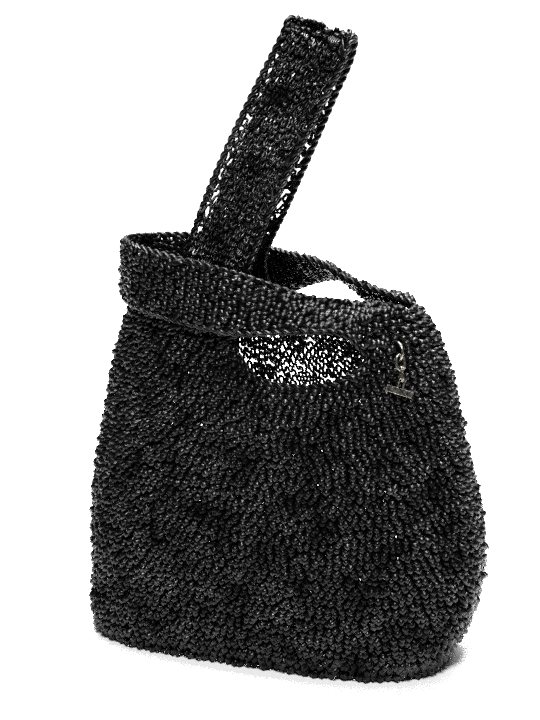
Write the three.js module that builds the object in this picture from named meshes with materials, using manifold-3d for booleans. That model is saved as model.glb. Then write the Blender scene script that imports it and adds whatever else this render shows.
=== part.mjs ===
// A knitted wire handbag: a soft hollow pouch with a long handle drawn up through a short one.
// The short handle is rooted at the right shoulder, lies to the left across the mouth and turns
// round the long handle, which is rooted at the left of the neckline and hangs on a peg.
// A small chain with a plain bar hangs from a stitch of the right shoulder.
// Millimetres, +Z up, front towards -Y. The origin is where the long handle bears on its peg;
// the tables count from the middle of the base.
import * as THREE from "three";
import { mergeVertices } from "three/addons/utils/BufferGeometryUtils.js";
import Module from "manifold-3d";

const wasm = await Module();
wasm.setup();

// Driving dimensions
const WALL = 4; // thickness of the knitted wall, about two cords
const GAP = 0.3; // clearance between neighbouring pieces
const RIM_HEIGHT = 218; // mouth edge above the base, away from the dips
const LONG_WIDTH = 41; // long handle, across the band
const SHORT_WIDTH = 37; // short handle, across the band
const FOLD_RADIUS = 7; // long handle's middle layer, where it turns over the peg
const RING = { radius: 6.2, wire: 1.3 }; // jump ring, to the middle of its wire
const LINKS = 2; // links of the chain
const LINK = { length: 10, width: 6, wire: 1.4 };
const BAIL = { length: 9, width: 4.4, wire: 1.3 }; // eye of the bar, its foot sunk in the bar
const BAR = { length: 16.5, height: 3.9, thickness: 1.8, bevel: 0.3, tilt: 20 };

// Facets
const BODY_COLUMNS = 72;
const BASE_RINGS = [0.35, 0.68, 0.9];
const WALL_STEPS = [0, 0.035, 0.095, 0.18, 0.28, 0.39, 0.5, 0.61, 0.72, 0.82, 0.91, 1];
const STEPS_PER_STATION = 2;
const FOLD_STATIONS = 5;
const WIRE_SIDES = 8;
const RING_STEPS = 24;

// Outline of the pouch's middle layer at each height: how far it reaches each way from the
// base's centre, and how square its corners are on either side (2 is an ellipse).
const BODY_SECTIONS = [
  { height: 2, left: 116.5, right: 107, front: 51.5, back: 47, squareLeft: 4, squareRight: 3 },
  { height: 10, left: 118.5, right: 112.5, front: 54, back: 50, squareLeft: 3.8, squareRight: 3 },
  { height: 24, left: 119.5, right: 119, front: 56, back: 53, squareLeft: 3.4, squareRight: 2.8 },
  { height: 44, left: 120, right: 124.5, front: 57, back: 56, squareLeft: 3, squareRight: 2.6 },
  { height: 69, left: 120.5, right: 127, front: 57.5, back: 58, squareLeft: 2.8, squareRight: 2.5 },
  { height: 104, left: 119, right: 122, front: 55.5, back: 57, squareLeft: 2.6, squareRight: 2.4 },
  { height: 142, left: 114.5, right: 112.5, front: 51.5, back: 53, squareLeft: 2.4, squareRight: 2.4 },
  { height: 177, left: 108, right: 104.5, front: 46, back: 48, squareLeft: 2.3, squareRight: 2.3 },
  { height: 200, left: 100.5, right: 97, front: 41, back: 43, squareLeft: 2.2, squareRight: 2.3 },
  { height: 218, left: 92, right: 86, front: 37, back: 39, squareLeft: 2.2, squareRight: 2.2 },
  { height: 228, left: 89, right: 75, front: 35, back: 37, squareLeft: 2.2, squareRight: 2.2 },
];

// Where the mouth edge dips below the rim height or, where the depth is negative, rises above it.
// Side is the sign of y: -1 in front, 1 behind, 0 both. Left and right are its reach from its
// centre along x, and fullness says how long it stays deep before it comes up.
const RIM_DIPS = [
  { name: "front_neckline", side: -1, centre: 18, left: 40, right: 50, depth: 38, fullness: 3 },
  { name: "back_neckline", side: 1, centre: 14, left: 44, right: 48, depth: 22, fullness: 4 },
  { name: "right_shoulder", side: 0, centre: 92, left: 30, right: 30, depth: -3, fullness: 2 },
];

// Soft dents of the pouch: where they lie round it and up it, how far they spread, how deep they are.
const DENTS = [
  { name: "left_flank", angle: 214, height: 157, halfAngle: 34, halfHeight: 60, depth: 7 },
  { name: "right_crease", angle: 330, height: 109, halfAngle: 16, halfHeight: 75, depth: 5 },
  { name: "front_swell", angle: 278, height: 160, halfAngle: 30, halfHeight: 40, depth: -4 },
  { name: "back_slump", angle: 95, height: 122, halfAngle: 45, halfHeight: 80, depth: 6 },
];

// Where each handle leaves the mouth edge, as angles round the pouch that fall on its facets.
// Rise is how far a root goes straight on from the wall before it bends.
const ROOTS = {
  long_front: { from: -125, to: -100, rise: 5 },
  long_back: { from: 130, to: 105, rise: 5 },
  short_front: { from: -50, to: -15, rise: 3 },
  short_back: { from: 45, to: 10, rise: 3 },
};
const ROOT_GAP = 0.8; // from the mouth edge to a root

// Long handle's middle line from each root to the fold: place and sideways lean from upright.
const LONG_FRONT = [
  { x: -35, y: -23, z: 236, lean: 7 },
  { x: -32.5, y: -19, z: 250, lean: 15 },
  { x: -22.5, y: -15, z: 280, lean: 22 },
  { x: -6.5, y: -11, z: 317, lean: 24 },
  { x: 8.5, y: -8.5, z: 348, lean: 24 },
];
const LONG_BACK = [
  { x: 10, y: 8.5, z: 348, lean: 24 },
  { x: -4, y: 11, z: 317, lean: 24 },
  { x: -21.5, y: 15, z: 280, lean: 22 },
  { x: -36.5, y: 20, z: 250, lean: 15 },
  { x: -40.5, y: 26, z: 236, lean: 7 },
];
const FOLD_CENTRE = new THREE.Vector3(22, 0, 374.5);
const FOLD_LEAN = 24;

// Short handle's lower edge, from its front root leftwards, round the end and back to the right:
// place, and how far the band leans from upright towards the inside of its loop.
const SHORT_STATIONS = [
  { x: 52, y: -36.5, z: 211.5, lean: 72 },
  { x: 31, y: -43, z: 213, lean: 72 },
  { x: 9, y: -46, z: 211, lean: 58 },
  { x: -12, y: -48, z: 209, lean: 33 },
  { x: -32, y: -48, z: 211, lean: 18 },
  { x: -58, y: -44, z: 214, lean: 11 },
  { x: -77, y: -38, z: 216.5, lean: 7 },
  { x: -91, y: -25, z: 216.5, lean: 3 },
  { x: -101.5, y: -5, z: 215, lean: 2 },
  { x: -101, y: 13, z: 213, lean: 2 },
  { x: -93, y: 26, z: 212, lean: 3 },
  { x: -75, y: 36, z: 212, lean: 6 },
  { x: -45, y: 44, z: 211, lean: 14 },
  { x: -15, y: 45, z: 213, lean: 30 },
  { x: 4, y: 42.5, z: 221, lean: 49 },
  { x: 17, y: 43, z: 225, lean: 60 },
  { x: 30, y: 43, z: 224.5, lean: 65 },
  { x: 45, y: 40, z: 214, lean: 58 },
];

// Stitch that carries the charm, and the two holes beside it that its ring goes through.
const CHARM_STITCH = { angle: 323.5, height: 201.2 };
const STITCH = { bridge: 2.8, holeEnd: 7.3, holeWidth: 2.2, holeDepth: 12 };
const RING_STANDOFF = 1.9; // ring's centre, outwards from the wall's middle layer
const RING_TURN = 30; // degrees that the ring is turned from square to the wall
const CHAIN_STANDOFF = 5.3; // chain's middle, outwards from the wall's middle layer
const CHAIN_START = 2; // upper bow of the first link, below the ring's centre

const DEGREE = Math.PI / 180;
const SLOPE_STEP = 1; // degrees and millimetres, for directions read off the pouch
const SAME_POINT = 1e-4; // points closer than this are one

// A smooth curve through one column of a table, read at a place along another column.
function readTable(table, along, at, column) {
  const last = table.length - 1;
  const slope = (i) => {
    const low = Math.max(i - 1, 0);
    const high = Math.min(i + 1, last);
    return (table[high][column] - table[low][column]) / (table[high][along] - table[low][along]);
  };
  const place = THREE.MathUtils.clamp(at, table[0][along], table[last][along]);
  let i = 0;
  while (i < last - 1 && place > table[i + 1][along]) i += 1;
  const span = table[i + 1][along] - table[i][along];
  const t = (place - table[i][along]) / span;
  const rise = t * t * (3 - 2 * t);
  const lead = t * (1 - t) * (1 - t);
  const trail = t * t * (1 - t);
  return (
    table[i][column] * (1 - rise) +
    table[i + 1][column] * rise +
    span * (slope(i) * lead - slope(i + 1) * trail)
  );
}

// A point of the pouch's middle layer, before dents: angle 0 is the right end, 90 the back.
function outline(angle, height) {
  const read = (column) => readTable(BODY_SECTIONS, "height", height, column);
  const c = Math.cos(angle * DEGREE);
  const s = Math.sin(angle * DEGREE);
  const square = read(c > 0 ? "squareRight" : "squareLeft");
  const corner = (Math.abs(c) ** square + Math.abs(s) ** square) ** (1 / square);
  const x = (c / corner) * read(c > 0 ? "right" : "left");
  const y = (s / corner) * read(s > 0 ? "back" : "front");
  return new THREE.Vector3(x, y, height);
}

// How strongly a dent acts at a distance given as a share of its half width.
function fade(share) {
  return Math.abs(share) < 1 ? (1 - share * share) ** 2 : 0;
}

function bodyPoint(angle, height) {
  const point = outline(angle, height);
  const reach = Math.hypot(point.x, point.y);
  let shrink = 1;
  for (const dent of DENTS) {
    const turn = ((((angle - dent.angle) % 360) + 540) % 360) - 180;
    const strength = fade(turn / dent.halfAngle) * fade((height - dent.height) / dent.halfHeight);
    shrink -= (dent.depth * strength) / reach;
  }
  point.x *= shrink;
  point.y *= shrink;
  return point;
}

function rimHeight(angle) {
  const { x, y } = outline(angle, RIM_HEIGHT);
  let height = RIM_HEIGHT;
  for (const dip of RIM_DIPS) {
    const share = Math.abs(x - dip.centre) / (x < dip.centre ? dip.left : dip.right);
    if (share < 1 && dip.side * y >= 0) height -= dip.depth * (1 - share ** dip.fullness);
  }
  return height;
}

function rimPoint(angle) {
  return bodyPoint(angle, rimHeight(angle));
}

// Directions at a point of the pouch: out of its wall, level along it, and steepest up it.
function bodyFrame(angle, height) {
  const origin = bodyPoint(angle, height);
  const column = origin.clone().sub(bodyPoint(angle, height - SLOPE_STEP));
  const ahead = bodyPoint(angle + SLOPE_STEP, height);
  const level = ahead.sub(bodyPoint(angle - SLOPE_STEP, height)).normalize();
  const out = new THREE.Vector3().crossVectors(level, column).normalize();
  const steepest = new THREE.Vector3().crossVectors(out, level);
  return { origin, out, level, steepest };
}

// A point straight on from the wall past the mouth edge, square to that edge.
function pastRim(angle, distance) {
  const { origin, out } = bodyFrame(angle, rimHeight(angle));
  const edge = rimPoint(angle + SLOPE_STEP).sub(rimPoint(angle - SLOPE_STEP));
  return origin.addScaledVector(out.cross(edge).normalize(), distance);
}

// A merged, closed solid from loose positions and triangles; triangles that closed up are dropped.
function solidOf(positions, index) {
  const loose = new THREE.BufferGeometry();
  loose.setAttribute("position", new THREE.Float32BufferAttribute(positions, 3));
  loose.setIndex(index);
  const merged = mergeVertices(loose, SAME_POINT);
  const corners = merged.index.array;
  const kept = [];
  for (let i = 0; i < corners.length; i += 3) {
    const [a, b, c] = corners.slice(i, i + 3);
    if (a !== b && b !== c && c !== a) kept.push(a, b, c);
  }
  return new wasm.Manifold(
    new wasm.Mesh({
      numProp: 3,
      vertProperties: merged.attributes.position.array,
      triVerts: new Uint32Array(kept),
    }),
  );
}

function solidFromGeometry(geometry) {
  const bare = geometry.index ? geometry.toNonIndexed() : geometry;
  const positions = Array.from(bare.attributes.position.array);
  return solidOf(positions, [...Array(positions.length / 3).keys()]);
}

function geometryOf(solid) {
  const mesh = solid.getMesh();
  const geometry = new THREE.BufferGeometry();
  geometry.setAttribute("position", new THREE.BufferAttribute(mesh.vertProperties, 3));
  geometry.setIndex(new THREE.BufferAttribute(mesh.triVerts, 1));
  geometry.computeVertexNormals();
  return geometry;
}

// A closed solid of the wall's thickness around a grid of middle-layer points.
// A ring's rows close on themselves and its first row is a single point; a strip has four edges.
function wallSolid(rows, isRing) {
  const columns = rows[0].length;
  const lastRow = rows.length - 1;
  const wrap = (j) => (isRing ? (j + columns) % columns : THREE.MathUtils.clamp(j, 0, columns - 1));
  const normalAt = (i, j) => {
    if (isRing && i === 0) return new THREE.Vector3(0, 0, -1);
    const across = new THREE.Vector3().subVectors(rows[i][wrap(j + 1)], rows[i][wrap(j - 1)]);
    const next = rows[Math.min(i + 1, lastRow)][j];
    const along = new THREE.Vector3().subVectors(next, rows[Math.max(i - 1, 0)][j]);
    return across.cross(along).normalize();
  };
  const positions = [];
  for (const side of [1, -1]) {
    rows.forEach((row, i) =>
      row.forEach((point, j) => {
        const moved = point.clone().addScaledVector(normalAt(i, j), (side * WALL) / 2);
        positions.push(moved.x, moved.y, moved.z);
      }),
    );
  }
  const layer = rows.length * columns;
  const index = [];
  const quad = (a, b, c, d) => index.push(a, b, c, a, c, d);
  const outer = (i, j) => i * columns + wrap(j);
  const inner = (i, j) => layer + outer(i, j);
  const spans = isRing ? columns : columns - 1;
  for (let i = 0; i < lastRow; i += 1) {
    for (let j = 0; j < spans; j += 1) {
      quad(outer(i, j), outer(i, j + 1), outer(i + 1, j + 1), outer(i + 1, j));
      quad(inner(i, j), inner(i + 1, j), inner(i + 1, j + 1), inner(i, j + 1));
    }
    if (!isRing) {
      const end = columns - 1;
      quad(outer(i, 0), outer(i + 1, 0), inner(i + 1, 0), inner(i, 0));
      quad(outer(i, end), inner(i, end), inner(i + 1, end), outer(i + 1, end));
    }
  }
  for (let j = 0; j < spans; j += 1) {
    quad(outer(lastRow, j), outer(lastRow, j + 1), inner(lastRow, j + 1), inner(lastRow, j));
    if (!isRing) quad(outer(0, j), inner(0, j), inner(0, j + 1), outer(0, j + 1));
  }
  return solidOf(positions, index);
}

// Pouch: flat base out from its centre, then the wall up to the mouth edge.
function bodyRows() {
  const angles = Array.from({ length: BODY_COLUMNS }, (_, j) => (j * 360) / BODY_COLUMNS);
  const foot = BODY_SECTIONS[0].height;
  const centre = new THREE.Vector3(0, 0, foot);
  const base = [0, ...BASE_RINGS].map((share) =>
    angles.map((angle) => centre.clone().lerp(bodyPoint(angle, foot), share)),
  );
  const wall = WALL_STEPS.map((step) =>
    angles.map((angle) => bodyPoint(angle, THREE.MathUtils.lerp(foot, rimHeight(angle), step))),
  );
  return [...base, ...wall];
}

// A band has as many columns as its root has facets of the pouch.
function bandColumns({ from, to }) {
  return Math.round((Math.abs(to - from) * BODY_COLUMNS) / 360);
}

// Points across a band at one station, from one edge to the other.
function acrossBand(first, second, columns) {
  return Array.from({ length: columns + 1 }, (_, j) => first.clone().lerp(second, j / columns));
}

// The two stations of a band's root: just clear of the mouth edge, then straight on from the wall.
function rootStations(root) {
  const columns = bandColumns(root);
  return [ROOT_GAP, root.rise].map((distance) =>
    Array.from({ length: columns + 1 }, (_, j) =>
      pastRim(THREE.MathUtils.lerp(root.from, root.to, j / columns), distance),
    ),
  );
}

// A band's grid: each column is a smooth curve through that column's point at every station.
function bandRows(stations) {
  const curves = stations[0].map(
    (_, j) => new THREE.CatmullRomCurve3(stations.map((station) => station[j])),
  );
  const steps = (stations.length - 1) * STEPS_PER_STATION;
  return Array.from({ length: steps + 1 }, (_, i) =>
    curves.map((curve) => curve.getPoint(i / steps)),
  );
}

function longHandleStations() {
  const columns = bandColumns(ROOTS.long_front);
  const leaning = (lean) => new THREE.Vector3(Math.cos(lean * DEGREE), 0, -Math.sin(lean * DEGREE));
  const station = (middle, lean) => {
    const half = leaning(lean).multiplyScalar(LONG_WIDTH / 2);
    return acrossBand(middle.clone().sub(half), middle.clone().add(half), columns);
  };
  const fromRow = ({ x, y, z, lean }) => station(new THREE.Vector3(x, y, z), lean);
  const uphill = leaning(FOLD_LEAN - 90);
  const fold = Array.from({ length: FOLD_STATIONS }, (_, i) => {
    const turn = (i / (FOLD_STATIONS - 1)) * Math.PI;
    const middle = FOLD_CENTRE.clone().addScaledVector(uphill, FOLD_RADIUS * Math.sin(turn));
    middle.y -= FOLD_RADIUS * Math.cos(turn);
    return station(middle, FOLD_LEAN);
  });
  return [
    ...rootStations(ROOTS.long_front),
    ...LONG_FRONT.map(fromRow),
    ...fold,
    ...LONG_BACK.map(fromRow),
    ...rootStations(ROOTS.long_back).reverse(),
  ];
}

function shortHandleStations() {
  const columns = bandColumns(ROOTS.short_front);
  const edge = SHORT_STATIONS.map(({ x, y, z }) => new THREE.Vector3(x, y, z));
  const last = edge.length - 1;
  const band = SHORT_STATIONS.map(({ lean }, i) => {
    const ahead = edge[Math.min(i + 1, last)].clone().sub(edge[Math.max(i - 1, 0)]);
    const across = new THREE.Vector3(ahead.y, -ahead.x, 0).setLength(Math.sin(lean * DEGREE));
    across.z = Math.cos(lean * DEGREE);
    return acrossBand(edge[i], edge[i].clone().addScaledVector(across, SHORT_WIDTH), columns);
  });
  return [
    ...rootStations(ROOTS.short_front),
    ...band,
    ...rootStations(ROOTS.short_back).reverse(),
  ];
}

// Charm's own axes: x level along the wall, y up it, z out of it, from the carrying stitch.
function charmMatrix() {
  const { origin, level, steepest, out } = bodyFrame(CHARM_STITCH.angle, CHARM_STITCH.height);
  return new THREE.Matrix4().makeBasis(level, steepest, out).setPosition(origin);
}

// Ring's own axes, turned so that the ring crosses the chain's middle at the charm's x = 0.
function ringMatrix() {
  const reach = CHAIN_STANDOFF - RING_STANDOFF;
  const turn = RING_TURN * DEGREE;
  return charmMatrix()
    .multiply(new THREE.Matrix4().makeTranslation(-reach * Math.tan(turn), 0, RING_STANDOFF))
    .multiply(new THREE.Matrix4().makeRotationY(turn));
}

function placed(geometry, matrix) {
  return solidFromGeometry(geometry.applyMatrix4(matrix));
}

// A round-ended wire link in the x-y plane, its length along y.
function linkGeometry({ length, width, wire }) {
  const bow = (width - wire) / 2;
  const straight = (length - width) / 2;
  const geometry = new THREE.TorusGeometry(bow, wire / 2, WIRE_SIDES, RING_STEPS);
  geometry.rotateZ(Math.PI / RING_STEPS);
  const position = geometry.attributes.position;
  for (let i = 0; i < position.count; i += 1) {
    position.setY(i, position.getY(i) + Math.sign(position.getY(i)) * straight);
  }
  return geometry;
}

function stitchHoles() {
  const start = STITCH.bridge / 2;
  const height = STITCH.holeEnd - start;
  return [1, -1].map((way) => {
    const hole = new THREE.BoxGeometry(STITCH.holeWidth, height, STITCH.holeDepth);
    return placed(hole.translate(0, way * (start + height / 2), 0), ringMatrix());
  });
}

function ringSolid() {
  const ring = new THREE.TorusGeometry(RING.radius, RING.wire / 2, WIRE_SIDES, RING_STEPS);
  return placed(ring.rotateY(Math.PI / 2), ringMatrix());
}

// Distance from the stitch down to the upper bow of the link with this number, counted from 0.
function bowDrop(number) {
  return CHAIN_START + number * (LINK.length - 2 * LINK.wire - GAP);
}

function linkSolid(number) {
  const link = linkGeometry(LINK);
  if (number % 2 === 1) link.rotateY(Math.PI / 2);
  const middle = bowDrop(number) + (LINK.length - LINK.wire) / 2;
  return placed(link.translate(0, -middle, CHAIN_STANDOFF), charmMatrix());
}

// The bar with its eye, tilted about the wire that it hangs on.
function barSolid(links) {
  const { length, height, thickness, bevel, tilt } = BAR;
  const shape = new THREE.Shape();
  const [halfLength, halfHeight] = [length / 2 - bevel, height / 2 - bevel];
  shape.moveTo(-halfLength, -halfHeight);
  shape.lineTo(halfLength, -halfHeight);
  shape.lineTo(halfLength, halfHeight);
  shape.lineTo(-halfLength, halfHeight);
  shape.closePath();
  const plate = new THREE.ExtrudeGeometry(shape, {
    depth: thickness - 2 * bevel,
    bevelThickness: bevel,
    bevelSize: bevel,
    bevelSegments: 2,
  });
  plate.translate(0, 0, bevel - thickness / 2);
  const bail = linkGeometry(BAIL);
  const bowToMiddle = (BAIL.length - BAIL.wire) / 2;
  plate.translate(0, -2 * bowToMiddle, 0);
  bail.translate(0, -bowToMiddle, 0);
  const hold = LINK.wire + GAP;
  const hung = charmMatrix()
    .multiply(new THREE.Matrix4().makeTranslation(0, -bowDrop(links) - hold, CHAIN_STANDOFF))
    .multiply(new THREE.Matrix4().makeRotationZ(-tilt * DEGREE))
    .multiply(new THREE.Matrix4().makeTranslation(0, hold, 0));
  return placed(plate, hung).add(placed(bail, hung));
}

const KNIT = new THREE.MeshStandardMaterial({ color: 0x0c0c0d, roughness: 0.35, metalness: 0 });
const METAL = new THREE.MeshStandardMaterial({ color: 0x6f6a60, roughness: 0.4, metalness: 1 });

const bag = new THREE.Group();
const hangPoint = new THREE.Vector3(Math.sin(FOLD_LEAN * DEGREE), 0, Math.cos(FOLD_LEAN * DEGREE))
  .multiplyScalar(FOLD_RADIUS - WALL / 2)
  .add(FOLD_CENTRE);
bag.position.copy(hangPoint).negate();

function addPiece(name, solid, material) {
  const mesh = new THREE.Mesh(geometryOf(solid), material);
  mesh.name = name;
  bag.add(mesh);
}

const [upperHole, lowerHole] = stitchHoles();
addPiece("body", wallSolid(bodyRows(), true).subtract(upperHole).subtract(lowerHole), KNIT.clone());
addPiece("long_handle", wallSolid(bandRows(longHandleStations()), false), KNIT.clone());
addPiece("short_handle", wallSolid(bandRows(shortHandleStations()), false), KNIT.clone());
addPiece("charm_ring", ringSolid(), METAL.clone());
for (let number = 0; number < LINKS; number += 1) {
  addPiece(`charm_link_${number + 1}`, linkSolid(number), METAL.clone());
}
addPiece("charm_bar", barSolid(LINKS), METAL.clone());

export default bag;
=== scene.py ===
"""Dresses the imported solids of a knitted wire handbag: real cords, twisted edges and a metal charm."""
from collections import namedtuple

import bmesh
import bpy
import numpy as np
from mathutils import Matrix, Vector


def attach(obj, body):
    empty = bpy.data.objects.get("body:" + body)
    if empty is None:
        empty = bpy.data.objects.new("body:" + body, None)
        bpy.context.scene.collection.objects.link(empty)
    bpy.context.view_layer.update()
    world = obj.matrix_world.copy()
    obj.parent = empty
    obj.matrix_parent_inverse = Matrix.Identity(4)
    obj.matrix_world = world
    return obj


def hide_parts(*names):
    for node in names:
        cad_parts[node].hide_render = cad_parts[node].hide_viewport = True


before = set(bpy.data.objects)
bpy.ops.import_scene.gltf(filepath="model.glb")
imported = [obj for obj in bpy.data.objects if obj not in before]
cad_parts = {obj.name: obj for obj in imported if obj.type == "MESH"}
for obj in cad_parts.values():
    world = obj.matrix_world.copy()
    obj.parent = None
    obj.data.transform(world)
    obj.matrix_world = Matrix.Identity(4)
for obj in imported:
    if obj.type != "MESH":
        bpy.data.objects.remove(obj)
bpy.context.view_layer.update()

# Sizes in millimetres, counted from the middle of the base, as in the part's source.
WALL = 4.0
FOOT = 2.0
RIM_HEIGHT = 218.0
LONG_WIDTH = 41.0
SHORT_WIDTH = 37.0
FOLD_RADIUS = 7.0
FOLD_LEAN = 24.0
FOLD_CENTRE = np.array([22.0, 0.0, 374.5])
FOLD_STATIONS = 5

# Pouch's middle layer: height, reach to the left, right, front and back, corners left and right.
BODY_SECTIONS = np.array([
    [2, 116.5, 107, 51.5, 47, 4, 3],
    [10, 118.5, 112.5, 54, 50, 3.8, 3],
    [24, 119.5, 119, 56, 53, 3.4, 2.8],
    [44, 120, 124.5, 57, 56, 3, 2.6],
    [69, 120.5, 127, 57.5, 58, 2.8, 2.5],
    [104, 119, 122, 55.5, 57, 2.6, 2.4],
    [142, 114.5, 112.5, 51.5, 53, 2.4, 2.4],
    [177, 108, 104.5, 46, 48, 2.3, 2.3],
    [200, 100.5, 97, 41, 43, 2.2, 2.3],
    [218, 92, 86, 37, 39, 2.2, 2.2],
    [228, 89, 75, 35, 37, 2.2, 2.2],
])
# Mouth edge's dips: side, centre, reach to the left and right, depth, fullness.
RIM_DIPS = [
    (-1, 18, 40, 50, 38, 3),
    (1, 14, 44, 48, 22, 4),
    (0, 92, 30, 30, -3, 2),
]
# Dents: angle, height, half angle, half height, depth.
DENTS = [
    (214, 157, 34, 60, 7),
    (330, 109, 16, 75, 5),
    (278, 160, 30, 40, -4),
    (95, 122, 45, 80, 6),
]
# Where each handle leaves the mouth edge: first angle, last angle, rise before it bends.
LONG_FRONT_ROOT = (-125, -100, 5)
LONG_BACK_ROOT = (130, 105, 5)
SHORT_FRONT_ROOT = (-50, -15, 3)
SHORT_BACK_ROOT = (45, 10, 3)
LONG_COLUMNS = 5
SHORT_COLUMNS = 7

# Long handle's middle line from each root to the fold: x, y, z, lean.
LONG_FRONT = [
    (-35, -23, 236, 7),
    (-32.5, -19, 250, 15),
    (-22.5, -15, 280, 22),
    (-6.5, -11, 317, 24),
    (8.5, -8.5, 348, 24),
]
LONG_BACK = [
    (10, 8.5, 348, 24),
    (-4, 11, 317, 24),
    (-21.5, 15, 280, 22),
    (-36.5, 20, 250, 15),
    (-40.5, 26, 236, 7),
]
# Short handle's lower edge, from its front root round to its back root: x, y, z, lean.
SHORT_STATIONS = [
    (52, -36.5, 211.5, 72),
    (31, -43, 213, 72),
    (9, -46, 211, 58),
    (-12, -48, 209, 33),
    (-32, -48, 211, 18),
    (-58, -44, 214, 11),
    (-77, -38, 216.5, 7),
    (-91, -25, 216.5, 3),
    (-101.5, -5, 215, 2),
    (-101, 13, 213, 2),
    (-93, 26, 212, 3),
    (-75, 36, 212, 6),
    (-45, 44, 211, 14),
    (-15, 45, 213, 30),
    (4, 42.5, 221, 49),
    (17, 43, 225, 60),
    (30, 43, 224.5, 65),
    (45, 40, 214, 58),
]

# Charm
CHARM_ANGLE = 323.5
CHARM_HEIGHT = 201.2
RING_RADIUS, RING_WIRE = 6.2, 1.6
LINK_LENGTH, LINK_WIDTH, LINK_WIRE = 10.0, 6.0, 1.4
LINK_LOOK = 2.0  # its wire as drawn here, thicker than in the solid
EYE_LENGTH, EYE_WIDTH, EYE_WIRE = 9.0, 4.4, 1.3
BAR_LENGTH, BAR_HEIGHT, BAR_THICKNESS, BAR_BEVEL, BAR_TILT = 16.5, 3.9, 1.8, 0.35, 20.0
LINKS = 2
LINK_GAP = 0.3
RING_STANDOFF, RING_TURN = 1.9, 30.0
CHAIN_STANDOFF, CHAIN_START = 5.3, 2.0

# Knit: a stitch's width and row height, the swell of a loop's sides, half a loop's height, how far
# the feet of one row and of the next stand out, half the cord's width and thickness, how far it
# wanders, how far it twists, in radians, and how much fuller it is at a foot, where strands cross.
Stitch = namedtuple("Stitch", "width course bulge height depths cord wander twist swell")
POUCH_STITCH = Stitch(4.6, 4.0, 0.2, 1.7, (1.9, 1.6), (1.4, 1.25), 0.8, 0.8, 0.7)
OPEN_STITCH = Stitch(4.6, 4.0, 0.5, 2.1, (0.8, 0.8), (1.0, 0.8), 0.6, 0.3, 0.0)
BASE_STITCH = Stitch(5.4, 5.0, 0.8, 3.6, (0.6, 0.6), (1.4, 1.1), 0.5, 0.5, 0.0)
SHORT_STITCH = Stitch(4.6, 3.7, 0.1, 2.2, (1.7, 1.4), (1.45, 1.35), 0.7, 0.8, 0.5)
LONG_STITCH = Stitch(4.7, 4.0, 0.5, 2.4, (2.0, 1.6), (0.9, 0.9), 0.9, 0.0, 0.3)
# Where the back wall is drawn open below the mouth: middle and half width along x, then middle and
# half height as shares of the wall's height.
OPEN_WINDOW = (-10, 70, 0.8, 0.22)
LONG_ACROSS, SHORT_ACROSS = 9, 8  # stitches across each handle
STEPS_PER_STITCH = 8
CORD_SIDES = 6
PANEL_REACH = 91.5  # degrees from a panel's middle to its side, a little past the other panel's side
PANEL_POINTS = 733
FOOT_POINTS = 721
RIM_POINTS = 200
BAND_STEPS = 12  # between a handle's stations
LINK_POINTS = 48
KNOT = 1.0  # stitches between the places that a cord wanders to
LOWEST_LOOP = 2.4  # above the base's underside
BASE_DROP = 1.0  # how far the base's loops stand below its middle layer at most
LEAN_GIVE = 0.6  # how far loops shrink where the wall leans: 0 not at all, 1 in full
RIM_FOLLOW = 1.4  # how late the courses take up the shape of the mouth edge
# Mouth edge between the handles' roots: first and last angle.
RIM_EDGES = [(-100, -50), (45, 105), (130, 235), (-15, 10)]
# Edge carried up into the corner of the short handle's back root: first and last angle, rise.
ROOT_WEB = (45, 62, 3.0)
EDGE_CORD = (1.35, 1.15)
EDGE_INSETS = (0.03, 0.12)  # where a handle's cord turns back, on one row and on the next
EDGE_PLACE = 0.02  # where the edge's own cords run
EDGE_TURN = 11.0  # length of one turn of an edge's two cords
EDGE_REACH = 1.05  # from an edge's middle to each of its cords
EDGE_STEPS = 12  # in one turn
EDGE_FINENESS = 4  # points read along an edge for each row of its handle
FOLD_LOOSE = 0.5  # how much looser the loops are over the fold
FOLD_REACH = 9.0  # and how far along the handle that fades
FOLD_LIFT = 3.6  # how much the slack fold stands above the plain one
FOLD_EASE = 10.0  # and how many degrees nearer to level
SEED = 7

# Surfaces: the low and high end of each noise, then its scale per metre and its detail.
CORD_COLOURS = ((0.0008, 0.0008, 0.0009), (0.002, 0.002, 0.0022))
CORD_COLOUR_NOISE = (90, 3)
CORD_ROUGHNESS = (0.18, 0.36)
CORD_ROUGHNESS_NOISE = (260, 2)
CORD_SHEEN = (0.02, 0.4)
CORD_SHEEN_NOISE = (60, 5)
CORD_GRAIN_NOISE = (1400, 2)
GRAIN_STRENGTH, GRAIN_DEPTH = 0.12, 0.0003
METAL_COLOURS = ((0.05, 0.047, 0.038), (0.42, 0.4, 0.36))
METAL_COLOUR_NOISE = (420, 4)
METAL_ROUGHNESS = (0.16, 0.38)
METAL_ROUGHNESS_NOISE = (900, 3)
NOISE_ENDS = (0.3, 0.7)  # the noise's values that give the two ends
FLOOR_GREY, FLOOR_ROUGHNESS = 0.78, 0.8

# Stage, in metres
CAMERA_AT = Vector((0.3474, -1.0411, 0.1196))
CAMERA_TO = Vector((-0.0471, 0.0428, -0.2111))
LENS, SENSOR = 93.75, 36  # millimetres
FARTHEST = 60
FLOOR_GAP = 1.2  # millimetres below the base
FLOOR_HALF = 12
SKY_STRENGTH = 0.05
# Soft square lights: name, place, target, watts, side, spread in degrees.
LIGHTS = [
    ("overhead", (-0.1, 0.6, 1.5), (-0.1, 0.55, -0.4), 38, 1.4, 45),
    ("backdrop", (-1.0, 4.4, 2.6), (-1.0, 4.4, -0.4), 520, 5.5, 180),
    ("key", (0.3, -0.85, 0.95), (-0.05, 0.0, -0.2), 31, 0.3, 180),
]

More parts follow.
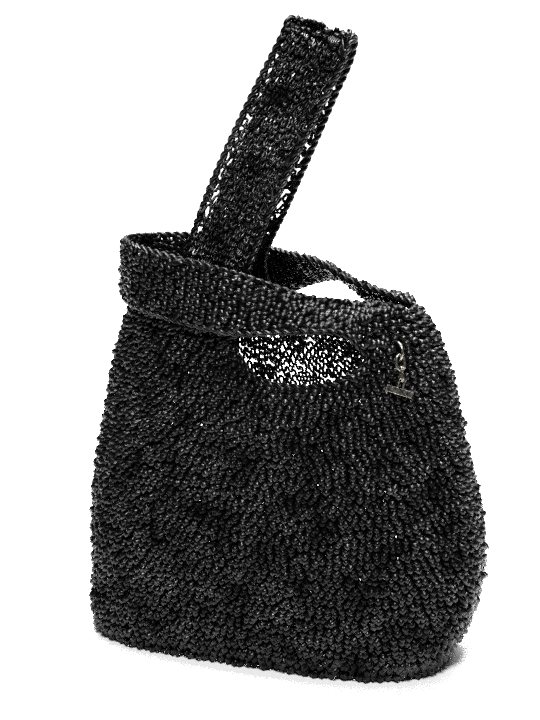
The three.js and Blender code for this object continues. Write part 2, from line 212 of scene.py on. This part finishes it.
FRONT, BACK = 270, 90  # the angles of the panels' middles
DEGREE = np.pi / 180
MM = 0.001  # metres
UP = np.array([0.0, 0.0, 1.0])
UPHILL = np.array([np.sin(FOLD_LEAN * DEGREE), 0, np.cos(FOLD_LEAN * DEGREE)])  # along the long handle
HANG_POINT = FOLD_CENTRE + (FOLD_RADIUS - WALL / 2) * UPHILL
random = np.random.RandomState(SEED)


def unit(vectors):
    return vectors / np.linalg.norm(vectors, axis=-1, keepdims=True)


def run_length(path):
    """The length along a path at each of its points."""
    return np.concatenate([[0], np.cumsum(np.linalg.norm(np.diff(path, axis=0), axis=1))])


# The pouch


def read_table(table, at):
    """Smooth curves through a table's other columns, read at places along its first."""
    count = len(table)
    low = np.maximum(np.arange(count) - 1, 0)
    high = np.minimum(np.arange(count) + 1, count - 1)
    keys = table[:, 0]
    slopes = (table[high] - table[low]) / (keys[high] - keys[low])[:, None]
    place = np.clip(at, keys[0], keys[-1])
    i = np.clip(np.searchsorted(keys, place) - 1, 0, count - 2)
    span = keys[i + 1] - keys[i]
    t = (place - keys[i]) / span
    rise = t * t * (3 - 2 * t)
    lead = t * (1 - t) ** 2
    trail = t * t * (1 - t)
    ends = table[i].T * (1 - rise) + table[i + 1].T * rise
    return (ends + span * (slopes[i].T * lead - slopes[i + 1].T * trail))[1:]


def outline(angle, height):
    left, right, front, back, square_left, square_right = read_table(BODY_SECTIONS, height)
    c = np.cos(angle * DEGREE)
    s = np.sin(angle * DEGREE)
    square = np.where(c > 0, square_right, square_left)
    corner = (np.abs(c) ** square + np.abs(s) ** square) ** (1 / square)
    x = c / corner * np.where(c > 0, right, left)
    y = s / corner * np.where(s > 0, back, front)
    return np.stack([x, y, height], -1)


def fade(share):
    return np.where(np.abs(share) < 1, (1 - share * share) ** 2, 0)


def body_point(angle, height):
    point = outline(angle, height)
    reach = np.hypot(point[:, 0], point[:, 1])
    shrink = np.ones(len(point))
    for dent_angle, dent_height, half_angle, half_height, depth in DENTS:
        turn = (angle - dent_angle + 540) % 360 - 180
        shrink -= depth * fade(turn / half_angle) * fade((height - dent_height) / half_height) / reach
    point[:, :2] *= shrink[:, None]
    return point


def body_normal(angle, height):
    level = body_point(angle + 0.5, height) - body_point(angle - 0.5, height)
    column = body_point(angle, height + 1) - body_point(angle, height - 1)
    return unit(np.cross(level, column))


def rim_height(angle):
    x, y, _ = outline(angle, np.full(len(angle), RIM_HEIGHT)).T
    height = np.full(len(angle), RIM_HEIGHT)
    for side, centre, left, right, depth, fullness in RIM_DIPS:
        share = np.abs(x - centre) / np.where(x < centre, left, right)
        inside = (share < 1) & (side * y >= 0)
        height -= np.where(inside, depth * (1 - np.minimum(share, 1) ** fullness), 0)
    return height


def past_rim(angle, distance):
    """Points straight on from the wall past the mouth edge."""
    height = rim_height(angle)
    before, after = [body_point(angle + step, rim_height(angle + step)) for step in (-1, 1)]
    onward = unit(np.cross(body_normal(angle, height), after - before))
    return body_point(angle, height) + distance * onward


def course_height(angle, share):
    """Height of a course: level near the base, taking up the mouth edge's shape near the top."""
    dip = RIM_HEIGHT - rim_height(angle)
    return FOOT + (RIM_HEIGHT - FOOT) * share - dip * share**RIM_FOLLOW


# Cords


def loops(stitch, phase, row):
    """A course's cord: offsets along it, up the wall and out of it."""
    t = 2 * np.pi * phase
    offsets = np.stack([
        stitch.bulge * np.sin(2 * t),
        -stitch.height * np.cos(t),
        stitch.depths[row % 2] * np.cos(t),
    ])
    for offset in offsets:
        offset += stitch.wander * wander(phase)
    return offsets


def beaded(stitch, phase):
    """The cord's half widths along a course, fullest at the loops' feet."""
    foot = ((1 + np.cos(2 * np.pi * phase)) / 2) ** 2
    return np.multiply.outer(1 + stitch.swell * foot, stitch.cord)


def wander(phase):
    """A seeded wandering along a course."""
    knots = np.arange(np.floor(phase[0]) - 1, np.ceil(phase[-1]) + 2, KNOT)
    return np.interp(phase, knots, random.normal(size=len(knots)))


def tube(path, normals, reach, twist=0.0, closed=False):
    """Vertices and faces of a cord along a path: its two half widths, and its twist at each point."""
    if closed:
        ahead = np.roll(path, -1, 0) - np.roll(path, 1, 0)
    else:
        ahead = np.gradient(path, axis=0)
    ahead = unit(ahead)
    side = unit(np.cross(ahead, normals))
    lift = np.cross(side, ahead)
    twist = np.broadcast_to(twist, len(path))[:, None]
    reach = np.broadcast_to(reach, (len(path), 2))
    wide = reach[:, :1] * (np.cos(twist) * side + np.sin(twist) * lift)
    thin = reach[:, 1:] * (np.cos(twist) * lift - np.sin(twist) * side)
    turn = 2 * np.pi * np.arange(CORD_SIDES) / CORD_SIDES
    spokes = np.cos(turn)[:, None] * wide[:, None] + np.sin(turn)[:, None] * thin[:, None]
    vertices = (path[:, None] + spokes).reshape(-1, 3)
    count = len(path)
    ring = np.arange(count if closed else count - 1)[:, None]
    around = np.arange(CORD_SIDES)[None]
    after = (ring + 1) % count
    beside = (around + 1) % CORD_SIDES
    corners = [ring * CORD_SIDES + around, ring * CORD_SIDES + beside]
    corners += [after * CORD_SIDES + beside, after * CORD_SIDES + around]
    quads = np.stack(corners, -1).reshape(-1, 4)
    first = np.arange(CORD_SIDES)[::-1]
    caps = [] if closed else [first, np.arange(CORD_SIDES) + (count - 1) * CORD_SIDES]
    return vertices, quads, caps


def add_cords(name, tubes, material, node):
    """One piece from many cords, riding where the node is and standing for it."""
    vertices = np.concatenate([t[0] for t in tubes])
    starts = np.cumsum([0] + [len(t[0]) for t in tubes])[:-1]
    quads = np.concatenate([t[1] + start for t, start in zip(tubes, starts)])
    caps = [cap + start for t, start in zip(tubes, starts) for cap in t[2]]
    corners = np.concatenate([quads.ravel(), *caps]).astype(np.int32)
    sizes = np.array([4] * len(quads) + [len(cap) for cap in caps])
    mesh = bpy.data.meshes.new(name)
    mesh.vertices.add(len(vertices))
    mesh.vertices.foreach_set("co", ((vertices - HANG_POINT) * MM).astype(np.float32).ravel())
    mesh.loops.add(len(corners))
    mesh.loops.foreach_set("vertex_index", corners)
    mesh.polygons.add(len(sizes))
    mesh.polygons.foreach_set("loop_start", (np.cumsum(sizes) - sizes).astype(np.int32))
    mesh.polygons.foreach_set("use_smooth", np.ones(len(sizes), bool))
    mesh.update()
    mesh.validate()
    return add_piece(mesh, material, node)


def add_piece(mesh, material, node):
    mesh.materials.append(material)
    piece = bpy.data.objects.new(mesh.name, mesh)
    bpy.context.collection.objects.link(piece)
    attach(piece, "root")
    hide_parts(node)
    return piece


def wall_course(share, row, rows, middle):
    """One course of the pouch's front or back panel, its stitches counted from the panel's middle."""
    angle = np.linspace(middle - PANEL_REACH, middle + PANEL_REACH, PANEL_POINTS)
    points = body_point(angle, course_height(angle, share))
    length = run_length(points)
    start = np.interp(middle, angle, length)
    width = POUCH_STITCH.width
    low = np.ceil(-start / width * STEPS_PER_STITCH)
    high = np.floor((length[-1] - start) / width * STEPS_PER_STITCH)
    phase = np.arange(low, high + 1) / STEPS_PER_STITCH
    place = start + (phase + random.uniform(-0.5, 0.5)) * width
    drawn = np.zeros(len(phase))
    if middle == BACK:
        drawn = openness(np.interp(place, length, points[:, 0]), share)
    closed = loops(POUCH_STITCH, phase, row)
    opened = loops(OPEN_STITCH, phase, row)
    along, rise, out = (1 - drawn) * closed + drawn * opened
    where = np.interp(place + along, length, angle)
    height = course_height(where, share)
    gap = course_height(where, share + 0.5 / rows) - course_height(where, share - 0.5 / rows)
    slope = body_point(where, height + 0.5) - body_point(where, height - 0.5)
    height += rise * gap / POUCH_STITCH.course / np.linalg.norm(slope, axis=1) ** LEAN_GIVE
    height = np.maximum(height, LOWEST_LOOP)
    normal = body_normal(where, height)
    path = body_point(where, height) + out[:, None] * normal
    full = beaded(POUCH_STITCH, phase)
    cord = full + drawn[:, None] * (OPEN_STITCH.cord - full)
    turning = POUCH_STITCH.twist + drawn * (OPEN_STITCH.twist - POUCH_STITCH.twist)
    return tube(path, normal, cord, turning * wander(phase))


def openness(x, share):
    """How far the back wall is drawn open, from 0 to 1."""
    middle, reach, height, height_reach = OPEN_WINDOW
    return np.sqrt(fade((x - middle) / reach) * fade((share - height) / height_reach))


def base_course(y, row):
    """One straight course of the flat base."""
    angle = np.linspace(0, 360, FOOT_POINTS)
    edge = outline(angle, np.full(len(angle), FOOT))
    half = edge[edge[:, 1] * np.sign(y) >= np.abs(y)]
    width = BASE_STITCH.width
    low = np.ceil(half[:, 0].min() / width * STEPS_PER_STITCH)
    high = np.floor(half[:, 0].max() / width * STEPS_PER_STITCH)
    phase = np.arange(low, high + 1) / STEPS_PER_STITCH
    along, rise, out = loops(BASE_STITCH, phase, row)
    path = np.stack([phase * width + along, y + rise, FOOT - np.minimum(out, BASE_DROP)], -1)
    normals = np.broadcast_to(-UP, path.shape)
    return tube(path, normals, BASE_STITCH.cord, BASE_STITCH.twist * wander(phase))


# Handles


def root_stations(root, columns):
    """The stations of a handle's root: in the mouth edge, then straight on from the wall."""
    first, last, rise = root
    angle = np.linspace(first, last, columns + 1)
    return [past_rim(angle, distance) for distance in (0, rise)]


def across(first, second, columns):
    return np.linspace(first, second, columns + 1)


def long_stations():
    def station(middle, lean):
        half = LONG_WIDTH / 2 * np.array([np.cos(lean * DEGREE), 0, -np.sin(lean * DEGREE)])
        return across(middle - half, middle + half, LONG_COLUMNS)

    fold = []
    for turn in np.linspace(0, np.pi, FOLD_STATIONS):
        middle = FOLD_CENTRE + FOLD_RADIUS * np.sin(turn) * UPHILL
        middle[1] -= FOLD_RADIUS * np.cos(turn)
        middle[2] += FOLD_LIFT * np.sin(turn)
        fold.append(station(middle, FOLD_LEAN - FOLD_EASE * np.sin(turn)))
    return np.array([
        *root_stations(LONG_FRONT_ROOT, LONG_COLUMNS),
        *[station(np.array(row[:3]), row[3]) for row in LONG_FRONT],
        *fold,
        *[station(np.array(row[:3]), row[3]) for row in LONG_BACK],
        *root_stations(LONG_BACK_ROOT, LONG_COLUMNS)[::-1],
    ])


def short_stations():
    table = np.array(SHORT_STATIONS, float)
    last = len(table) - 1
    band = []
    for i, (x, y, z, lean) in enumerate(table):
        ahead = table[min(i + 1, last)] - table[max(i - 1, 0)]
        inward = unit(np.array([ahead[1], -ahead[0], 0]))
        lean *= DEGREE
        edge = np.array([x, y, z])
        far = edge + SHORT_WIDTH * (np.sin(lean) * inward + np.cos(lean) * UP)
        band.append(across(edge, far, SHORT_COLUMNS))
    return np.array([
        *root_stations(SHORT_FRONT_ROOT, SHORT_COLUMNS),
        *band,
        *root_stations(SHORT_BACK_ROOT, SHORT_COLUMNS)[::-1],
    ])


def smooth_curve(stations, steps):
    """Centripetal Catmull-Rom curves through the stations, column by column."""
    ends = [2 * stations[:1] - stations[1:2], stations, 2 * stations[-1:] - stations[-2:-1]]
    knots = np.concatenate(ends)
    gap = np.maximum(np.linalg.norm(np.diff(knots, axis=0), axis=-1, keepdims=True), 1e-4) ** 0.5
    rows = []
    for i in range(len(stations) - 1):
        p0, p1, p2, p3 = knots[i : i + 4]
        g0, g1, g2 = gap[i : i + 3]
        lead = g1 * ((p1 - p0) / g0 - (p2 - p0) / (g0 + g1) + (p2 - p1) / g1)
        trail = g1 * ((p2 - p1) / g1 - (p3 - p1) / (g1 + g2) + (p3 - p2) / g2)
        for t in np.arange(steps) / steps:
            cubic = (2 * p1 - 2 * p2 + lead + trail) * t**3
            square = (-3 * p1 + 3 * p2 - 2 * lead - trail) * t**2
            rows.append(cubic + square + lead * t + p1)
    return np.array([*rows, stations[-1]])


class Band:
    """A handle's middle layer, read by the length along its middle and the share across it."""

    def __init__(self, stations):
        self.points = smooth_curve(stations, BAND_STEPS)
        run = np.gradient(self.points, axis=0)
        width = np.gradient(self.points, axis=1)
        self.normals = unit(np.cross(width, run))
        self.length = run_length(self.points[:, self.points.shape[1] // 2])

    def at(self, length, share):
        rows, columns = self.points.shape[:2]
        i = np.interp(length, self.length, np.arange(rows))
        j = np.clip(share, 0, 1) * (columns - 1)
        i0 = np.minimum(i.astype(int), rows - 2)
        j0 = np.minimum(j.astype(int), columns - 2)
        u = (i - i0)[:, None]
        v = (j - j0)[:, None]

        def mixed(grid):
            near = grid[i0, j0] * (1 - v) + grid[i0, j0 + 1] * v
            far = grid[i0 + 1, j0] * (1 - v) + grid[i0 + 1, j0 + 1] * v
            return near * (1 - u) + far * u

        return mixed(self.points), unit(mixed(self.normals))

    def cord(self, stitch, stitches, loose_at=np.inf):
        """One cord to and fro across the band, turning further in on every other row.

        Its loops stand out further round one length along the band, if that is given.
        """
        points, normals, reaches, twists = [], [], [], []
        count = round(self.length[-1] / stitch.course)
        phase = np.arange(stitches * STEPS_PER_STITCH + 1) / STEPS_PER_STITCH
        for row in range(count):
            shifted = phase + random.uniform(0, 1)
            along, rise, out = loops(stitch, shifted, row)
            middle = (row + 0.5) / count * self.length[-1]
            out *= 1 + FOLD_LOOSE * np.exp(-(((middle - loose_at) / FOLD_REACH) ** 2))
            inset = EDGE_INSETS[row % 2]
            share = inset + (1 - 2 * inset) * (phase + along / stitch.width) / stitches
            onward = -1 if row % 2 else 1
            point, normal = self.at(middle + rise, share)
            points.append((point + out[:, None] * normal)[::onward])
            normals.append(normal[::onward])
            reaches.append(beaded(stitch, shifted)[::onward])
            twists.append(stitch.twist * wander(phase))
        return [tube(*[np.concatenate(rows) for rows in (points, normals, reaches, twists)])]

    def edges(self):
        place = np.linspace(0, self.length[-1], EDGE_FINENESS * len(self.length))
        tubes = []
        for share in (EDGE_PLACE, 1 - EDGE_PLACE):
            point, normal = self.at(place, np.full(len(place), share))
            tubes += twisted_pair(point, normal)
        return tubes


def twisted_pair(path, normals):
    """Two cords wound round each other along an edge."""
    length = run_length(path)
    count = max(int(length[-1] / EDGE_TURN * EDGE_STEPS), 2)
    place = np.linspace(0, length[-1], count + 1)
    centre = np.stack([np.interp(place, length, path[:, k]) for k in range(3)], -1)
    out = unit(np.stack([np.interp(place, length, normals[:, k]) for k in range(3)], -1))
    side = unit(np.cross(unit(np.gradient(centre, axis=0)), out))
    tubes = []
    for start in (0, np.pi):
        turn = (2 * np.pi * place / EDGE_TURN + start)[:, None]
        strand = centre + EDGE_REACH * (np.cos(turn) * out + np.sin(turn) * side)
        tubes.append(tube(strand, out, EDGE_CORD))
    return tubes


def rim_edge(first, last, rise=0):
    """A twisted edge along a stretch of the mouth edge, or some way above it."""
    angle = np.linspace(first, last, RIM_POINTS)
    return twisted_pair(past_rim(angle, rise), body_normal(angle, rim_height(angle)))


# Materials


def new_material(name):
    material = bpy.data.materials.new(name)
    material.use_nodes = True
    nodes = material.node_tree.nodes
    return material, nodes, material.node_tree.links, nodes["Principled BSDF"]


def noise_ramp(nodes, links, ends, grain):
    """A noise in the object's own space, spread between two colours or two plain values."""
    scale, detail = grain
    place = nodes.new("ShaderNodeTexCoord")
    noise = nodes.new("ShaderNodeTexNoise")
    noise.inputs["Scale"].default_value = scale
    noise.inputs["Detail"].default_value = detail
    ramp = nodes.new("ShaderNodeValToRGB")
    for element, position, end in zip(ramp.color_ramp.elements, NOISE_ENDS, ends):
        element.position = position
        element.color = (*np.broadcast_to(end, 3), 1)
    links.new(place.outputs["Object"], noise.inputs["Vector"])
    links.new(noise.outputs["Fac"], ramp.inputs["Fac"])
    return noise, ramp


def cord_material():
    """Glossy black plastic cord, a little scuffed."""
    material, nodes, links, shader = new_material("black_cord")
    _, colour = noise_ramp(nodes, links, CORD_COLOURS, CORD_COLOUR_NOISE)
    links.new(colour.outputs["Color"], shader.inputs["Base Color"])
    _, gloss = noise_ramp(nodes, links, CORD_ROUGHNESS, CORD_ROUGHNESS_NOISE)
    links.new(gloss.outputs["Color"], shader.inputs["Roughness"])
    grain, _ = noise_ramp(nodes, links, (0, 1), CORD_GRAIN_NOISE)
    bump = nodes.new("ShaderNodeBump")
    bump.inputs["Strength"].default_value = GRAIN_STRENGTH
    bump.inputs["Distance"].default_value = GRAIN_DEPTH
    links.new(grain.outputs["Fac"], bump.inputs["Height"])
    links.new(bump.outputs["Normal"], shader.inputs["Normal"])
    _, sheen = noise_ramp(nodes, links, CORD_SHEEN, CORD_SHEEN_NOISE)
    links.new(sheen.outputs["Color"], shader.inputs["Specular IOR Level"])
    return material


def metal_material():
    """Dull antique metal, darker in patches."""
    material, nodes, links, shader = new_material("antique_metal")
    _, colour = noise_ramp(nodes, links, METAL_COLOURS, METAL_COLOUR_NOISE)
    links.new(colour.outputs["Color"], shader.inputs["Base Color"])
    _, gloss = noise_ramp(nodes, links, METAL_ROUGHNESS, METAL_ROUGHNESS_NOISE)
    links.new(gloss.outputs["Color"], shader.inputs["Roughness"])
    shader.inputs["Metallic"].default_value = 1
    return material


# Charm


class Axes:
    """A place and three directions, to put local points into the bag's frame."""

    def __init__(self, origin, matrix):
        self.origin = origin
        self.matrix = matrix

    def put(self, points):
        return self.origin + points @ self.matrix.T

    def turned(self, offset, turn):
        return Axes(self.put(np.array(offset, float)), self.matrix @ turn)


def turn_y(angle):
    c, s = np.cos(angle * DEGREE), np.sin(angle * DEGREE)
    return np.array([[c, 0, s], [0, 1, 0], [-s, 0, c]])


def turn_z(angle):
    c, s = np.cos(angle * DEGREE), np.sin(angle * DEGREE)
    return np.array([[c, -s, 0], [s, c, 0], [0, 0, 1]])


def charm_axes():
    """x level along the wall, y up it, z out of it, from the stitch that carries the charm."""
    angle = np.array([CHARM_ANGLE])
    height = np.array([CHARM_HEIGHT])
    origin = body_point(angle, height)[0]
    column = origin - body_point(angle, height - 1)[0]
    level = unit(body_point(angle + 1, height)[0] - body_point(angle - 1, height)[0])
    out = unit(np.cross(level, column))
    return Axes(origin, np.stack([level, np.cross(out, level), out], -1))


def link_path(length, width, wire):
    """A round-ended loop in the x-y plane, its length along y."""
    turn = 2 * np.pi * (np.arange(LINK_POINTS) + 0.5) / LINK_POINTS
    bow = (width - wire) / 2
    straight = (length - width) / 2
    y = bow * np.sin(turn) + np.sign(np.sin(turn)) * straight
    return np.stack([bow * np.cos(turn), y, np.zeros(LINK_POINTS)], -1)


def wire_tube(axes, path, wire):
    normals = np.broadcast_to(axes.matrix[:, 2], path.shape)
    return tube(axes.put(path), normals, (wire / 2, wire / 2), closed=True)


def bow_drop(number):
    """How far below the carrying stitch a link's upper bow hangs."""
    return CHAIN_START + number * (LINK_LENGTH - 2 * LINK_WIRE - LINK_GAP)


def bar_mesh(axes):
    """The charm's plain bar with soft edges."""
    shape = bmesh.new()
    bmesh.ops.create_cube(shape, size=1)
    bmesh.ops.scale(shape, vec=(BAR_LENGTH, BAR_HEIGHT, BAR_THICKNESS), verts=shape.verts)
    bmesh.ops.bevel(shape, geom=shape.edges[:], offset=BAR_BEVEL, segments=3, profile=0.5, affect="EDGES")
    for vertex in shape.verts:
        vertex.co = Vector((axes.put(np.array(vertex.co)) - HANG_POINT) * MM)
    mesh = bpy.data.meshes.new("bar_plate")
    shape.to_mesh(mesh)
    shape.free()
    return mesh


def add_charm(metal):
    charm = charm_axes()
    reach = CHAIN_STANDOFF - RING_STANDOFF
    side = -reach * np.tan(RING_TURN * DEGREE)
    ring = charm.turned((side, 0, RING_STANDOFF), turn_y(RING_TURN + 90))
    across_ring = 2 * RING_RADIUS + RING_WIRE
    path = link_path(across_ring, across_ring, RING_WIRE)
    add_cords("jump_ring", [wire_tube(ring, path, RING_WIRE)], metal, "charm_ring")
    for number in range(LINKS):
        middle = bow_drop(number) + (LINK_LENGTH - LINK_WIRE) / 2
        axes = charm.turned((0, -middle, CHAIN_STANDOFF), turn_y(90 * (number % 2)))
        path = link_path(LINK_LENGTH, LINK_WIDTH, LINK_WIRE)
        node = f"charm_link_{number + 1}"
        add_cords(f"link_{number + 1}", [wire_tube(axes, path, LINK_LOOK)], metal, node)
    hold = LINK_WIRE + LINK_GAP
    hung = charm.turned((0, -bow_drop(LINKS) - hold, CHAIN_STANDOFF), turn_z(-BAR_TILT))
    drop = (EYE_LENGTH - EYE_WIRE) / 2
    eye = hung.turned((0, hold - drop, 0), np.eye(3))
    path = link_path(EYE_LENGTH, EYE_WIDTH, EYE_WIRE)
    add_cords("bar_eye", [wire_tube(eye, path, EYE_WIRE)], metal, "charm_bar")
    plate = hung.turned((0, hold - 2 * drop, 0), np.eye(3))
    add_piece(bar_mesh(plate), metal, "charm_bar")


# Pieces


def add_knit(cord):
    rows = round((RIM_HEIGHT - FOOT) / POUCH_STITCH.course)
    half = rows // 2
    for panel, middle in (("front", FRONT), ("back", BACK)):
        courses = [wall_course((row + 0.5) / rows, row, rows, middle) for row in range(rows)]
        add_cords(f"pouch_{panel}_lower", courses[:half], cord, "body")
        add_cords(f"pouch_{panel}_upper", courses[half:], cord, "body")
    low, high = -BODY_SECTIONS[0, 3], BODY_SECTIONS[0, 4]
    lines = np.arange(low + BASE_STITCH.height, high - BASE_STITCH.height, BASE_STITCH.course)
    base = [base_course(y, row) for row, y in enumerate(lines)]
    add_cords("pouch_base", base, cord, "body")
    edges = [rim_edge(*stretch) for stretch in (*RIM_EDGES, ROOT_WEB)]
    add_cords("mouth_edge", sum(edges, []), cord, "body")
    long_band = Band(long_stations())
    knit = long_band.cord(LONG_STITCH, LONG_ACROSS, long_band.length[-1] / 2)
    add_cords("long_handle_knit", knit, cord, "long_handle")
    add_cords("long_handle_edges", long_band.edges(), cord, "long_handle")
    short_band = Band(short_stations())
    knit = short_band.cord(SHORT_STITCH, SHORT_ACROSS)
    add_cords("short_handle_knit", knit, cord, "short_handle")
    add_cords("short_handle_edges", short_band.edges(), cord, "short_handle")


# Stage


def add_floor():
    height = -(HANG_POINT[2] + FLOOR_GAP) * MM
    signs = [(-1, -1), (1, -1), (1, 1), (-1, 1)]
    corners = [(FLOOR_HALF * x, FLOOR_HALF * y, height) for x, y in signs]
    mesh = bpy.data.meshes.new("floor")
    mesh.from_pydata(corners, [], [(0, 1, 2, 3)])
    material, _, _, shader = new_material("pale_floor")
    shader.inputs["Base Color"].default_value = (FLOOR_GREY, FLOOR_GREY, FLOOR_GREY, 1)
    shader.inputs["Roughness"].default_value = FLOOR_ROUGHNESS
    mesh.materials.append(material)
    floor = bpy.data.objects.new("floor", mesh)
    bpy.context.collection.objects.link(floor)


def aim(place, target):
    return (target - place).to_track_quat("-Z", "Y").to_euler()


def add_light(name, place, target, watts, size, spread):
    data = bpy.data.lights.new(name, "AREA")
    data.energy = watts
    data.size = size
    data.spread = spread * DEGREE
    lamp = bpy.data.objects.new(name, data)
    lamp.location = place
    lamp.rotation_euler = aim(lamp.location, Vector(target))
    bpy.context.collection.objects.link(lamp)


def add_stage():
    scene = bpy.context.scene
    scene.view_settings.view_transform = "Standard"
    scene.cycles.use_denoising = False
    data = bpy.data.cameras.new("camera")
    data.lens = LENS
    data.sensor_width = SENSOR
    data.clip_end = FARTHEST
    camera = bpy.data.objects.new("camera", data)
    camera.location = CAMERA_AT
    camera.rotation_euler = aim(CAMERA_AT, CAMERA_TO)
    bpy.context.collection.objects.link(camera)
    scene.camera = camera
    add_floor()
    for light in LIGHTS:
        add_light(*light)
    world = bpy.data.worlds.new("studio")
    world.use_nodes = True
    sky = world.node_tree.nodes["Background"]
    sky.inputs["Color"].default_value = (1, 1, 1, 1)
    sky.inputs["Strength"].default_value = SKY_STRENGTH
    scene.world = world


add_stage()
add_knit(cord_material())
add_charm(metal_material())
